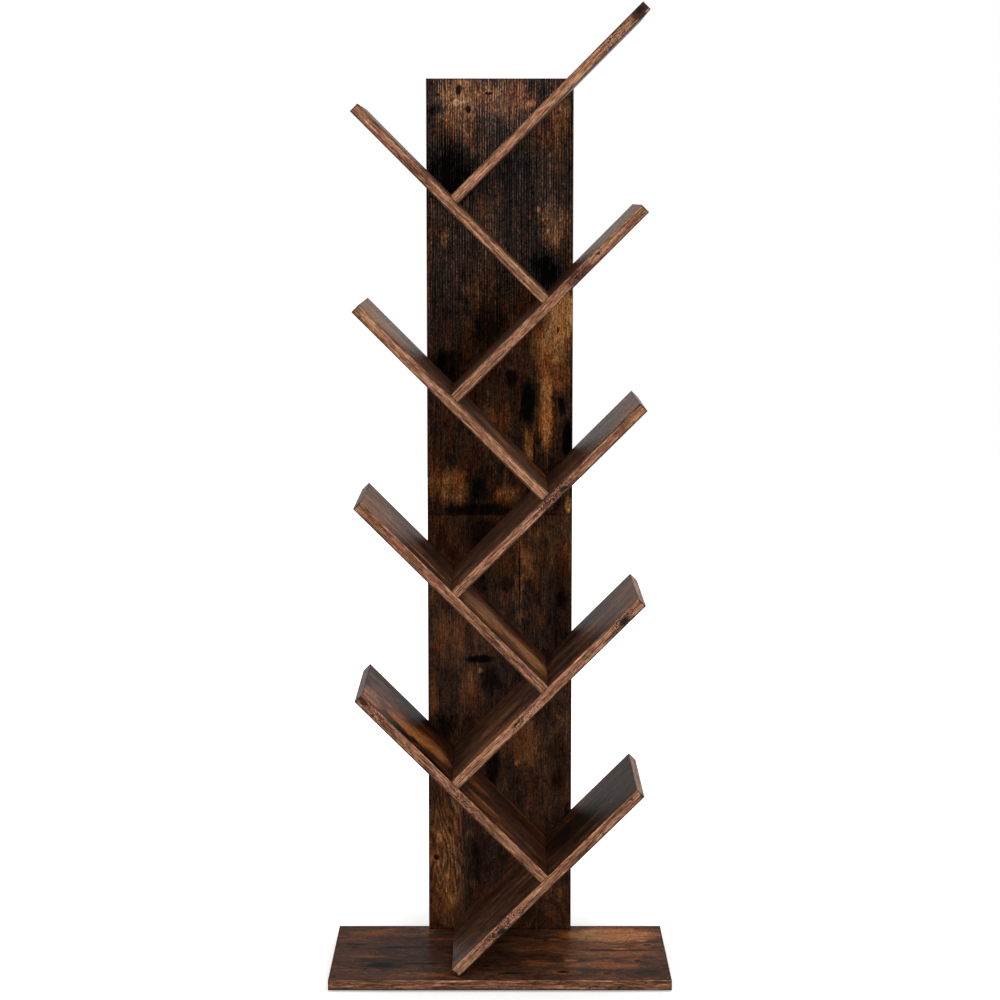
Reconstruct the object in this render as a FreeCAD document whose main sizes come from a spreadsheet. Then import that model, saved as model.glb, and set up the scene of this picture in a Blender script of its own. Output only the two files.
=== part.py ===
import FreeCAD, Part
import math
import os
import Sketcher

# Tree bookcase of flat boards: a base board, an upright back panel in two lengths and nine slanted
# shelves that zigzag up its front, each butted square on the one below.
# Millimetres. X runs to the right, Y to the rear, Z up. The origin is on the floor under the middle
# of the base board.

# Driving dimensions: name, value, meaning
SIZES = (
    ("base_width", 500.0, "base board, left to right, edge bands included"),
    ("base_depth", 250.0, "base board, front to rear, edge band included"),
    ("base_thickness", 15.0, "base board"),
    ("panel_width", 220.0, "back panel, edge bands included"),
    ("panel_thickness", 15.0, "back panel"),
    ("lower_panel_length", 650.0, "lower length of the back panel"),
    ("upper_panel_length", 655.0, "upper length of the back panel, top edge band included"),
    ("shelf_length", 380.0, "shelf along its slope, end band included"),
    ("shelf_depth", 220.0, "shelf, front to rear, front band included"),
    ("shelf_thickness", 15.0, "shelf"),
    ("corner_spacing", 140.0, "sideways distance, and rise, from one inner corner to the next"),
    ("shelf_floor_gap", 0.2, "clearance under the lowest shelf's lower corner"),
    ("band_thickness", 0.8, "edge band strips"),
    ("band_edge_radius", 0.4, "rounding of an edge band's long outer edges"),
    ("screw_length", 50.0, "connector screw, head included"),
    ("screw_head_diameter", 10.0, "connector screw's countersunk head"),
    ("screw_neck_diameter", 7.0, "connector screw's plain neck"),
    ("screw_neck_length", 12.0, "connector screw, from the head's face to the thread"),
    ("screw_thread_diameter", 6.2, "connector screw's thread at its pitch line"),
    ("screw_tip_length", 6.0, "connector screw's tapered tip"),
    ("screw_tip_diameter", 3.0, "connector screw's blunt end"),
    ("socket_width", 4.0, "hexagon socket in the screw's head, across flats"),
    ("socket_depth", 2.6, "hexagon socket in the screw's head"),
    ("bore_play", 0.2, "added to the diameter of what sits in a bore or recess"),
    ("bore_end_play", 0.6, "free depth past the end of a screw, nail or dowel"),
    ("back_screw_near", 50.0, "first back screw, from the shelf's inner corner along its slope"),
    ("back_screw_far", 150.0, "second back screw, from the shelf's inner corner along its slope"),
    ("joint_screw_inset", 40.0, "butt joint's screws, from the shelf's front and rear edges"),
    ("joint_dowel_inset", 75.0, "butt joint's dowels, from the shelf's front and rear edges"),
    ("dowel_diameter", 8.0, "wooden dowel"),
    ("dowel_length", 30.0, "wooden dowel"),
    ("dowel_chamfer", 1.0, "wooden dowel's bevelled ends"),
    ("dowel_seat", 9.0, "depth of a dowel in a board's face"),
    ("cap_diameter", 13.0, "cover cap over a joint screw"),
    ("cap_thickness", 1.2, "cover cap's disc"),
    ("cap_bevel", 0.5, "bevel round the cover cap's rim"),
    ("cap_peg_length", 2.0, "cover cap's peg in the screw's socket"),
    ("base_screw_spacing", 150.0, "screws from the base into the back panel, centre to centre"),
    ("base_dowel_spacing", 90.0, "dowels between base and back panel, centre to centre"),
    ("seam_dowel_spacing", 124.0, "dowels between the two panel lengths, centre to centre"),
    ("seam_plate_spacing", 160.0, "joining plates across the panel seam, centre to centre"),
    ("seam_plate_width", 16.0, "joining plate"),
    ("seam_plate_length", 80.0, "joining plate"),
    ("seam_plate_thickness", 1.5, "joining plate"),
    ("plate_hole_near", 12.0, "joining plate's inner holes, from the seam"),
    ("plate_hole_far", 31.0, "joining plate's outer holes, from the seam"),
    ("plate_screw_length", 12.0, "joining plate's screw, head included"),
    ("plate_screw_head_diameter", 6.0, "joining plate's screw, countersunk head"),
    ("plate_screw_diameter", 3.4, "joining plate's screw, thread at its pitch line"),
    ("plate_screw_tip_length", 3.0, "joining plate's screw, pointed tip"),
    ("plate_screw_tip_diameter", 0.6, "joining plate's screw, end of the point"),
    ("cross_length", 3.4, "cross recess in the small screw's head"),
    ("cross_width", 0.8, "cross recess in the small screw's head"),
    ("cross_depth", 1.0, "cross recess in the small screw's head"),
    ("glide_diameter", 22.0, "floor glide"),
    ("glide_height", 3.0, "floor glide"),
    ("glide_bevel", 0.6, "bevel round the floor glide's foot"),
    ("glide_inset", 24.0, "floor glide's centre, from the base board's edges"),
    ("nail_length", 14.0, "glide nail, head included"),
    ("nail_diameter", 2.4, "glide nail"),
    ("nail_head_diameter", 6.0, "glide nail's head"),
    ("nail_head_thickness", 1.0, "glide nail's head"),
    ("nail_sink", 0.8, "glide nail's head, above the floor"),
    ("nail_tip_length", 3.0, "glide nail's point"),
    ("nail_tip_diameter", 0.6, "glide nail, end of the point"),
)

# The shelves' ends are cut square and butt at right angles, so both sets slope alike, in degrees
SLOPE = 45
COUNTERSINK_ANGLE = 90
# How closely two coordinates have to agree to count as the same place
TOLERANCE = 1e-6

# The zigzag starts at the bottom with a shelf that rises to the right
RIGHT = 1
LEFT = -1
SHELF_COUNT = 9

doc = FreeCAD.newDocument("tree_bookcase")
sheet = doc.addObject("Spreadsheet::Sheet", "Sizes")
for row, (alias, value, meaning) in enumerate(SIZES, start=1):
    sheet.set(f"A{row}", meaning)
    sheet.set(f"B{row}", str(value))
    sheet.setAlias(f"B{row}", alias)
doc.recompute()

# Places that several pieces share, as expressions of the driving dimensions
BASE_TOP = "(Sizes.glide_height + Sizes.base_thickness)"
PANEL_FRONT = "(Sizes.base_depth / 2 - Sizes.panel_thickness)"
PANEL_MIDDLE = "(Sizes.base_depth / 2 - Sizes.panel_thickness / 2)"
SHELF_FRONT = f"({PANEL_FRONT} - Sizes.shelf_depth)"
SEAM = f"({BASE_TOP} + Sizes.lower_panel_length)"
THREAD_BORE = "(Sizes.screw_thread_diameter + Sizes.bore_play)"
NECK_BORE = "(Sizes.screw_neck_diameter + Sizes.bore_play)"
HEAD_BORE = "(Sizes.screw_head_diameter + Sizes.bore_play)"
DOWEL_BORE = "(Sizes.dowel_diameter + Sizes.bore_play)"
# Where the next shelf's end stands on a shelf, along its slope
JOINT_RUN = f"(Sizes.corner_spacing / cos({SLOPE}) - Sizes.shelf_thickness / 2)"

exported = []


def measure(text):
    """The value of an expression, in millimetres."""
    return float(sheet.evalExpression(text))


def point(x, y, z="0"):
    return FreeCAD.Vector(measure(x), measure(y), measure(z))


def put(feature, x, y, z, turn=None):
    """Places a feature by expressions, turned by a rotation."""
    feature.Placement = FreeCAD.Placement(point(x, y, z), turn or FreeCAD.Rotation())
    for axis, text in zip("xyz", (x, y, z)):
        feature.setExpression(f"Placement.Base.{axis}", text)


# Sketches and features


def new_body(label):
    body = doc.addObject("PartDesign::Body", label)
    body.Label = label
    return body


def new_sketch(body, name, role, offset="0"):
    """A sketch on one of the body's own origin planes, or lifted off it along its normal."""
    sketch = body.newObject("Sketcher::SketchObject", name)
    origin_plane = [item for item in body.Origin.OriginFeatures if item.Role == role]
    sketch.AttachmentSupport = [(origin_plane[0], "")]
    sketch.MapMode = "FlatFace"
    sketch.setExpression("AttachmentOffset.Base.z", offset)
    return sketch


def tie(sketch, index, end, x, y):
    """Ties a sketch point to the origin by expressions."""
    for kind, text in (("DistanceX", x), ("DistanceY", y)):
        rule = Sketcher.Constraint(kind, -1, 1, index, end, measure(text))
        number = sketch.addConstraint(rule)
        sketch.setExpression(f"Constraints[{number}]", text)


def draw_outline(sketch, corners):
    """A closed outline of straight lines through corners given as expressions."""
    first = sketch.GeometryCount
    points = [point(x, y) for x, y in corners]
    count = len(points)
    for index in range(count):
        line = Part.LineSegment(points[index], points[(index + 1) % count])
        sketch.addGeometry(line, False)
    for index in range(count):
        following = first + (index + 1) % count
        sketch.addConstraint(Sketcher.Constraint("Coincident", first + index, 2, following, 1))
    for index, (x, y) in enumerate(corners):
        tie(sketch, first + index, 1, x, y)


def draw_circles(sketch, centres, diameter):
    for x, y in centres:
        circle = Part.Circle(point(x, y), FreeCAD.Vector(0, 0, 1), measure(diameter) / 2)
        index = sketch.addGeometry(circle, False)
        tie(sketch, index, 3, x, y)
        number = sketch.addConstraint(Sketcher.Constraint("Diameter", index, measure(diameter)))
        sketch.setExpression(f"Constraints[{number}]", diameter)


def rectangle(x_start, y_start, x_end, y_end):
    return [(x_start, y_start), (x_end, y_start), (x_end, y_end), (x_start, y_end)]


def pad(body, name, sketch, length, backwards=False):
    feature = body.newObject("PartDesign::Pad", name)
    feature.Profile = sketch
    feature.setExpression("Length", length)
    feature.Reversed = backwards
    return feature


def pocket(body, name, sketch, length, backwards=False):
    feature = body.newObject("PartDesign::Pocket", name)
    feature.Profile = sketch
    feature.setExpression("Length", length)
    feature.Reversed = backwards
    return feature


def revolve(body, name, sketch):
    feature = body.newObject("PartDesign::Revolution", name)
    feature.Profile = sketch
    feature.ReferenceAxis = (sketch, ["V_Axis"])
    feature.Angle = 360
    return feature


def countersunk_hole(body, name, sketch, diameter, head):
    """Through holes with their countersink on the sketch's side, along the sketch's normal."""
    doc.recompute()
    feature = body.newObject("PartDesign::Hole", name)
    feature.Profile = sketch
    feature.ThreadType = "None"
    feature.DepthType = "ThroughAll"
    feature.Reversed = True
    feature.setExpression("Diameter", diameter)
    feature.HoleCutType = "Countersink"
    feature.HoleCutCustomValues = True
    feature.setExpression("HoleCutDiameter", head)
    feature.HoleCutCountersinkAngle = COUNTERSINK_ANGLE
    return feature


def drill(body, name, role, offset, centres, diameter, depth, backwards=False):
    """Blind bores; backwards runs them along the plane's normal."""
    sketch = new_sketch(body, f"{name}Sketch", role, offset)
    draw_circles(sketch, centres, diameter)
    return pocket(body, name, sketch, depth, backwards)


def round_edges(body, name, feature, choose):
    """Rounds the edges of a band whose two ends both satisfy the choice."""
    doc.recompute()
    names = []
    for number, edge in enumerate(feature.Shape.Edges, start=1):
        ends = [vertex.Point for vertex in edge.Vertexes]
        if len(ends) == 2 and all(choose(end) for end in ends):
            names.append((edge.Length, f"Edge{number}"))
    names.sort(reverse=True)
    fillet = body.newObject("PartDesign::Fillet", name)
    fillet.Base = (feature, [edge_name for _, edge_name in names[:2]])
    fillet.setExpression("Radius", "Sizes.band_edge_radius")
    return fillet


# Places along the zigzag: shelf 0 is the lowest, and the sides take turns


def side_of(step):
    return RIGHT if step % 2 == 0 else LEFT


def shelf_name(step):
    word = "right" if side_of(step) == RIGHT else "left"
    return f"{word}_{step // 2 + 1}"


def corner_x(step):
    return f"({-side_of(step)} * Sizes.corner_spacing / 2)"


def corner_z(step):
    foot = f"Sizes.shelf_floor_gap + Sizes.shelf_thickness * cos({SLOPE})"
    return f"({BASE_TOP} + {foot} + {step} * Sizes.corner_spacing)"


def put_shelf(feature, step):
    turn = FreeCAD.Rotation(FreeCAD.Vector(0, 1, 0), -side_of(step) * SLOPE)
    put(feature, corner_x(step), SHELF_FRONT, corner_z(step), turn)


def along(step, text):
    """A distance from the inner corner along the shelf, in the shelf's own X."""
    return f"({side_of(step)} * {text})"


def depth_places(inset):
    """Front and rear places of a pair of fasteners across a shelf's depth."""
    return [inset, f"(Sizes.shelf_depth - {inset})"]


def back_screw_places(step):
    """World X and Z of the screws from the back panel into a shelf's rear edge."""
    places = []
    for distance in ("Sizes.back_screw_near", "Sizes.back_screw_far"):
        side = side_of(step)
        x = f"({corner_x(step)} + {side} * ({distance} + Sizes.shelf_thickness / 2) * cos({SLOPE}))"
        z = f"({corner_z(step)} + ({distance} - Sizes.shelf_thickness / 2) * cos({SLOPE}))"
        places.append((x, z))
    return places


# Boards


def cut_rear_bores(body, step):
    """Bores in a shelf's rear edge for the screws from the back panel."""
    middle = "(-Sizes.shelf_thickness / 2)"
    distances = ("Sizes.back_screw_near", "Sizes.back_screw_far")
    places = [(along(step, distance), middle) for distance in distances]
    depth = "(Sizes.screw_length - Sizes.panel_thickness + Sizes.bore_end_play)"
    drill(body, "RearBores", "XZ_Plane", "-Sizes.shelf_depth", places, THREAD_BORE, depth, True)


def cut_end_bores(body, step):
    """Bores in a shelf's lower end for the screws and dowels from the shelf below."""
    middle = "(-Sizes.shelf_thickness / 2)"
    inwards = side_of(step) == RIGHT
    places = [(y, middle) for y in depth_places("Sizes.joint_screw_inset")]
    depth = "(Sizes.screw_length - Sizes.shelf_thickness + Sizes.bore_end_play)"
    drill(body, "EndScrewBores", "YZ_Plane", "0", places, THREAD_BORE, depth, inwards)
    places = [(y, middle) for y in depth_places("Sizes.joint_dowel_inset")]
    depth = "(Sizes.dowel_length - Sizes.dowel_seat + Sizes.bore_end_play)"
    drill(body, "EndDowelBores", "YZ_Plane", "0", places, DOWEL_BORE, depth, inwards)


def cut_face_holes(body, step):
    """Dowel bores and countersunk holes where the next shelf's end stands on this one."""
    run = along(step, JOINT_RUN)
    places = [(run, y) for y in depth_places("Sizes.joint_dowel_inset")]
    depth = "(Sizes.dowel_seat + Sizes.bore_end_play)"
    drill(body, "FaceDowelBores", "XY_Plane", "0", places, DOWEL_BORE, depth)
    places = [(run, y) for y in depth_places("Sizes.joint_screw_inset")]
    sketch = new_sketch(body, "JointHolesSketch", "XY_Plane", "-Sizes.shelf_thickness")
    draw_circles(sketch, places, NECK_BORE)
    countersunk_hole(body, "JointHoles", sketch, NECK_BORE, HEAD_BORE)


def make_shelf(step):
    """One shelf: X along its slope, Y to the rear, its top face at Z zero."""
    body = new_body(f"shelf_{shelf_name(step)}")
    lowest = step == 0
    highest = step == SHELF_COUNT - 1
    start = "Sizes.band_thickness" if lowest else "0"
    plan = new_sketch(body, "Plan", "XY_Plane")
    board_end = along(step, "(Sizes.shelf_length - Sizes.band_thickness)")
    corners = rectangle(along(step, start), "Sizes.band_thickness", board_end, "Sizes.shelf_depth")
    draw_outline(plan, corners)
    pad(body, "Board", plan, "Sizes.shelf_thickness", backwards=True)
    cut_rear_bores(body, step)
    if not lowest:
        cut_end_bores(body, step)
    if not highest:
        cut_face_holes(body, step)
    put_shelf(body, step)
    exported.append(body)
    return body


def cut_plate_seats(body, seam, reach):
    """Recesses and screw bores for the joining plates, on the rear face from the seam on."""
    rear = "-Sizes.panel_thickness"
    plate_end = f"({seam} + {reach} * (Sizes.seam_plate_length + Sizes.bore_play) / 2)"
    half_recess = "(Sizes.seam_plate_width + Sizes.bore_play) / 2"
    recess = new_sketch(body, "PlateRecessSketch", "XZ_Plane", rear)
    places = []
    for side in (LEFT, RIGHT):
        centre = f"({side} * Sizes.seam_plate_spacing / 2)"
        low = f"({centre} - {half_recess})"
        high = f"({centre} + {half_recess})"
        draw_outline(recess, rectangle(low, seam, high, plate_end))
        for hole in ("Sizes.plate_hole_near", "Sizes.plate_hole_far"):
            places.append((centre, f"({seam} + {reach} * {hole})"))
    pocket(body, "PlateRecess", recess, "Sizes.seam_plate_thickness", True)
    depth = "(Sizes.plate_screw_length + Sizes.bore_end_play)"
    bore = "(Sizes.plate_screw_diameter + Sizes.bore_play)"
    drill(body, "PlateScrewBores", "XZ_Plane", rear, places, bore, depth, True)


def panel_end_places(spacing):
    """Places in a panel's end, in the middle of its thickness."""
    return [(f"({side} * {spacing} / 2)", "(Sizes.panel_thickness / 2)") for side in (LEFT, RIGHT)]


def cut_foot_bores(body):
    """Bores in the lower panel's foot for what holds it to the base board."""
    places = panel_end_places("Sizes.base_dowel_spacing")
    depth = "(Sizes.dowel_length - Sizes.dowel_seat + Sizes.bore_end_play)"
    drill(body, "FootDowelBores", "XY_Plane", "0", places, DOWEL_BORE, depth, True)
    places = panel_end_places("Sizes.base_screw_spacing")
    depth = "(Sizes.screw_length - Sizes.base_thickness + Sizes.bore_end_play)"
    drill(body, "FootScrewBores", "XY_Plane", "0", places, THREAD_BORE, depth, True)


def cut_back_holes(body, bottom, is_upper):
    """Countersunk holes for the screws into the rear edges of the shelves in front."""
    places = []
    for step in range(SHELF_COUNT):
        for x, z in back_screw_places(step):
            if (measure(z) > measure(SEAM)) == is_upper:
                places.append((x, f"({z} - {bottom})"))
    sketch = new_sketch(body, "BackHolesSketch", "XZ_Plane", "-Sizes.panel_thickness")
    draw_circles(sketch, places, NECK_BORE)
    countersunk_hole(body, "BackHoles", sketch, NECK_BORE, HEAD_BORE)


def make_panel(label, bottom, length, is_upper):
    """One length of the back panel: X centred, its front face at Y zero, its foot at Z zero."""
    body = new_body(label)
    half = "(Sizes.panel_width / 2 - Sizes.band_thickness)"
    top = f"({length} - Sizes.band_thickness)" if is_upper else length
    plan = new_sketch(body, "Plan", "XY_Plane")
    draw_outline(plan, rectangle(f"-{half}", "0", half, "Sizes.panel_thickness"))
    pad(body, "Board", plan, top)
    seam = "0" if is_upper else length
    cut_plate_seats(body, seam, RIGHT if is_upper else LEFT)
    places = panel_end_places("Sizes.seam_dowel_spacing")
    depth = "(Sizes.dowel_length / 2 + Sizes.bore_end_play)"
    drill(body, "SeamDowelBores", "XY_Plane", seam, places, DOWEL_BORE, depth, is_upper)
    if not is_upper:
        cut_foot_bores(body)
    cut_back_holes(body, bottom, is_upper)
    put(body, "0", PANEL_FRONT, bottom)
    exported.append(body)
    return body


def glide_places():
    x = "(Sizes.base_width / 2 - Sizes.glide_inset)"
    y = "(Sizes.base_depth / 2 - Sizes.glide_inset)"
    return [(f"({i} * {x})", f"({j} * {y})") for i in (LEFT, RIGHT) for j in (LEFT, RIGHT)]


def base_places(spacing):
    """Places on the base under the middle of the back panel's thickness."""
    return [(f"({side} * {spacing} / 2)", PANEL_MIDDLE) for side in (LEFT, RIGHT)]


def make_base():
    """The base board: X and Y centred, its underside at Z zero."""
    body = new_body("base_board")
    half = "(Sizes.base_width / 2 - Sizes.band_thickness)"
    front = "(Sizes.band_thickness - Sizes.base_depth / 2)"
    plan = new_sketch(body, "Plan", "XY_Plane")
    draw_outline(plan, rectangle(f"-{half}", front, half, "Sizes.base_depth / 2"))
    pad(body, "Board", plan, "Sizes.base_thickness")
    places = base_places("Sizes.base_dowel_spacing")
    depth = "(Sizes.dowel_seat + Sizes.bore_end_play)"
    drill(body, "DowelBores", "XY_Plane", "Sizes.base_thickness", places, DOWEL_BORE, depth)
    bore = "(Sizes.nail_diameter + Sizes.bore_play)"
    depth = "(Sizes.nail_sink + Sizes.nail_length - Sizes.glide_height + Sizes.bore_end_play)"
    drill(body, "NailBores", "XY_Plane", "0", glide_places(), bore, depth, True)
    sketch = new_sketch(body, "ScrewHolesSketch", "XY_Plane")
    draw_circles(sketch, base_places("Sizes.base_screw_spacing"), NECK_BORE)
    countersunk_hole(body, "ScrewHoles", sketch, NECK_BORE, HEAD_BORE)
    put(body, "0", "0", "Sizes.glide_height")
    exported.append(body)
    return body


# Edge bands: thin strips on the boards' cut edges, with rounded outer corners


def make_band(label, corners, length, outer, backwards=False):
    """A strip with its plan outline, height and the test of its outer face's points."""
    body = new_body(label)
    plan = new_sketch(body, "Plan", "XY_Plane")
    draw_outline(plan, corners)
    strip = pad(body, "Strip", plan, length, backwards)
    round_edges(body, "Rounding", strip, outer)
    exported.append(body)
    return body


def near(value, text):
    return math.isclose(value, measure(text), abs_tol=TOLERANCE)


def make_shelf_bands(step):
    """The front strip runs the shelf's whole length, the end strips stand behind it."""
    name = shelf_name(step)
    thickness = "Sizes.shelf_thickness"
    band = "Sizes.band_thickness"
    depth = "Sizes.shelf_depth"
    tip = along(step, "Sizes.shelf_length")
    inner_tip = along(step, "(Sizes.shelf_length - Sizes.band_thickness)")
    front = make_band(
        f"front_band_{name}",
        rectangle("0", "0", tip, band),
        thickness,
        lambda end: near(end.y, "0"),
        True,
    )
    put_shelf(front, step)
    outer_end = make_band(
        f"end_band_{name}",
        rectangle(inner_tip, band, tip, depth),
        thickness,
        lambda end: near(end.x, tip),
        True,
    )
    put_shelf(outer_end, step)
    if step == 0:
        foot = make_band(
            f"foot_band_{name}",
            rectangle("0", band, along(step, band), depth),
            thickness,
            lambda end: near(end.x, "0"),
            True,
        )
        put_shelf(foot, step)


def make_panel_bands(word, bottom, length):
    """Strips down both long edges of one length of the back panel."""
    outer = "Sizes.panel_width / 2"
    inner = "(Sizes.panel_width / 2 - Sizes.band_thickness)"
    for side, side_word in ((LEFT, "left"), (RIGHT, "right")):
        edge = f"({side} * {outer})"
        corners = rectangle(edge, "0", f"({side} * {inner})", "Sizes.panel_thickness")
        label = f"panel_band_{word}_{side_word}"
        strip = make_band(label, corners, length, lambda end: near(end.x, edge))
        put(strip, "0", PANEL_FRONT, bottom)


def make_panel_top_band():
    inner = "(Sizes.panel_width / 2 - Sizes.band_thickness)"
    top = "Sizes.band_thickness"
    corners = rectangle(f"-{inner}", "0", inner, "Sizes.panel_thickness")
    strip = make_band("panel_band_top", corners, top, lambda end: near(end.z, top))
    put(strip, "0", PANEL_FRONT, f"({SEAM} + Sizes.upper_panel_length - Sizes.band_thickness)")


def make_base_bands():
    half = "(Sizes.base_width / 2)"
    inner_half = "(Sizes.base_width / 2 - Sizes.band_thickness)"
    front = "(-Sizes.base_depth / 2)"
    inner_front = "(Sizes.band_thickness - Sizes.base_depth / 2)"
    rear = "(Sizes.base_depth / 2)"
    thickness = "Sizes.base_thickness"
    corners = rectangle(f"-{half}", front, half, inner_front)
    strip = make_band("base_band_front", corners, thickness, lambda end: near(end.y, front))
    put(strip, "0", "0", "Sizes.glide_height")
    for side, word in ((LEFT, "left"), (RIGHT, "right")):
        edge = f"({side} * {half})"
        corners = rectangle(edge, inner_front, f"({side} * {inner_half})", rear)
        strip = make_band(f"base_band_{word}", corners, thickness, lambda end: near(end.x, edge))
        put(strip, "0", "0", "Sizes.glide_height")


# Fasteners and small parts, each shaped once and then set out in groups


def turned_body(label, corners):
    """A solid of revolution about Z from a half outline of X and Z."""
    body = new_body(label)
    sketch = new_sketch(body, "HalfOutline", "XZ_Plane")
    draw_outline(sketch, corners)
    revolve(body, "Turned", sketch)
    return body


def hexagon(width):
    radius = f"{width} / 2 / cos(30)"
    return [(f"({radius} * cos({60 * i}))", f"({radius} * sin({60 * i}))") for i in range(6)]


def cross(length, width):
    """The outline of a cross recess, anticlockwise."""
    far = f"({length} / 2)"
    near_side = f"({width} / 2)"
    quarter = [(far, near_side), (near_side, near_side), (near_side, far)]
    corners = []
    for x_sign, y_sign, swap in ((1, 1, False), (-1, 1, True), (-1, -1, False), (1, -1, True)):
        points = reversed(quarter) if swap else quarter
        for x, y in points:
            corners.append((f"({x_sign} * {x})", f"({y_sign} * {y})"))
    return corners


def connector_screw():
    """Countersunk connector screw: the head's face at Z zero, its tip up."""
    head = "(Sizes.screw_head_diameter / 2)"
    neck = "(Sizes.screw_neck_diameter / 2)"
    thread = "(Sizes.screw_thread_diameter / 2)"
    corners = [
        ("0", "0"),
        (head, "0"),
        (neck, f"({head} - {neck})"),
        (neck, "Sizes.screw_neck_length"),
        (thread, f"(Sizes.screw_neck_length + {neck} - {thread})"),
        (thread, "(Sizes.screw_length - Sizes.screw_tip_length)"),
        ("(Sizes.screw_tip_diameter / 2)", "Sizes.screw_length"),
        ("0", "Sizes.screw_length"),
    ]
    body = turned_body("connector_screw", corners)
    sketch = new_sketch(body, "SocketSketch", "XY_Plane")
    draw_outline(sketch, hexagon("Sizes.socket_width"))
    pocket(body, "Socket", sketch, "Sizes.socket_depth", True)
    return body


def plate_screw():
    """Small countersunk wood screw with a cross recess: the head's face at Z zero, its tip up."""
    head = "(Sizes.plate_screw_head_diameter / 2)"
    shank = "(Sizes.plate_screw_diameter / 2)"
    corners = [
        ("0", "0"),
        (head, "0"),
        (shank, f"({head} - {shank})"),
        (shank, "(Sizes.plate_screw_length - Sizes.plate_screw_tip_length)"),
        ("(Sizes.plate_screw_tip_diameter / 2)", "Sizes.plate_screw_length"),
        ("0", "Sizes.plate_screw_length"),
    ]
    body = turned_body("plate_screw", corners)
    sketch = new_sketch(body, "RecessSketch", "XY_Plane")
    draw_outline(sketch, cross("Sizes.cross_length", "Sizes.cross_width"))
    pocket(body, "Recess", sketch, "Sizes.cross_depth", True)
    return body


def dowel():
    """Wooden dowel with bevelled ends, its foot at Z zero."""
    radius = "(Sizes.dowel_diameter / 2)"
    end_radius = f"({radius} - Sizes.dowel_chamfer)"
    corners = [
        ("0", "0"),
        (end_radius, "0"),
        (radius, "Sizes.dowel_chamfer"),
        (radius, "(Sizes.dowel_length - Sizes.dowel_chamfer)"),
        (end_radius, "Sizes.dowel_length"),
        ("0", "Sizes.dowel_length"),
    ]
    return turned_body("dowel", corners)


def cover_cap():
    """Push-in cover cap: the disc below Z zero, the peg above it in the screw's socket."""
    rim = "(Sizes.cap_diameter / 2)"
    peg = "((Sizes.socket_width - Sizes.bore_play) / 2)"
    corners = [
        ("0", "-Sizes.cap_thickness"),
        (f"({rim} - Sizes.cap_bevel)", "-Sizes.cap_thickness"),
        (rim, "(Sizes.cap_bevel - Sizes.cap_thickness)"),
        (rim, "0"),
        (peg, "0"),
        (peg, "Sizes.cap_peg_length"),
        ("0", "Sizes.cap_peg_length"),
    ]
    return turned_body("cover_cap", corners)


def floor_glide():
    """Nail-on floor glide: its foot at Z zero, with a counterbore for the nail's head."""
    rim = "(Sizes.glide_diameter / 2)"
    head = "((Sizes.nail_head_diameter + Sizes.bore_play) / 2)"
    shank = "((Sizes.nail_diameter + Sizes.bore_play) / 2)"
    seat = "(Sizes.nail_sink + Sizes.nail_head_thickness)"
    corners = [
        (head, "0"),
        (f"({rim} - Sizes.glide_bevel)", "0"),
        (rim, "Sizes.glide_bevel"),
        (rim, "Sizes.glide_height"),
        (shank, "Sizes.glide_height"),
        (shank, seat),
        (head, seat),
    ]
    return turned_body("floor_glide", corners)


def glide_nail():
    """Glide nail: its head's face at Z zero, its point up."""
    head = "(Sizes.nail_head_diameter / 2)"
    shank = "(Sizes.nail_diameter / 2)"
    corners = [
        ("0", "0"),
        (head, "0"),
        (head, "Sizes.nail_head_thickness"),
        (shank, "Sizes.nail_head_thickness"),
        (shank, "(Sizes.nail_length - Sizes.nail_tip_length)"),
        ("(Sizes.nail_tip_diameter / 2)", "Sizes.nail_length"),
        ("0", "Sizes.nail_length"),
    ]
    return turned_body("glide_nail", corners)


def joining_plate():
    """Flat steel plate across the seam: centred on X and Z, its rear face at Y zero."""
    body = new_body("joining_plate")
    outline = new_sketch(body, "Outline", "XZ_Plane")
    half_width = "(Sizes.seam_plate_width / 2)"
    half_length = "(Sizes.seam_plate_length / 2)"
    draw_outline(outline, rectangle(f"-{half_width}", f"-{half_length}", half_width, half_length))
    pad(body, "Plate", outline, "Sizes.seam_plate_thickness")
    places = []
    for hole in ("Sizes.plate_hole_near", "Sizes.plate_hole_far"):
        places.append(("0", hole))
        places.append(("0", f"-{hole}"))
    sketch = new_sketch(body, "HolesSketch", "XZ_Plane")
    bore = "(Sizes.plate_screw_diameter + Sizes.bore_play)"
    draw_circles(sketch, places, bore)
    head = "(Sizes.plate_screw_head_diameter + Sizes.bore_play)"
    countersunk_hole(body, "Holes", sketch, bore, head)
    return body


def group(label, pattern, placements):
    """Like pieces in one node: a separate solid at each placement."""
    doc.recompute()
    solids = []
    for placement in placements:
        solid = pattern.Shape.copy()
        solid.Placement = placement.multiply(pattern.Shape.Placement)
        solids.append(solid)
    feature = doc.addObject("Part::Feature", label)
    feature.Label = label
    feature.Shape = Part.makeCompound(solids)
    exported.append(feature)
    return feature


UP = FreeCAD.Vector(0, 0, 1)
FORWARD = FreeCAD.Vector(0, -1, 0)


def standing(places, z):
    """Placements of pieces that point up, from X and Y places and a height."""
    return [FreeCAD.Placement(point(x, y, z), FreeCAD.Rotation()) for x, y in places]


def joint_placements(shelves, inset, height):
    """Placements across each butt joint, square to the carrying shelf's top face."""
    placements = []
    for step in range(SHELF_COUNT - 1):
        for y in depth_places(inset):
            local = FreeCAD.Placement(point(along(step, JOINT_RUN), y, height), FreeCAD.Rotation())
            placements.append(shelves[step].Placement.multiply(local))
    return placements


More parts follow.
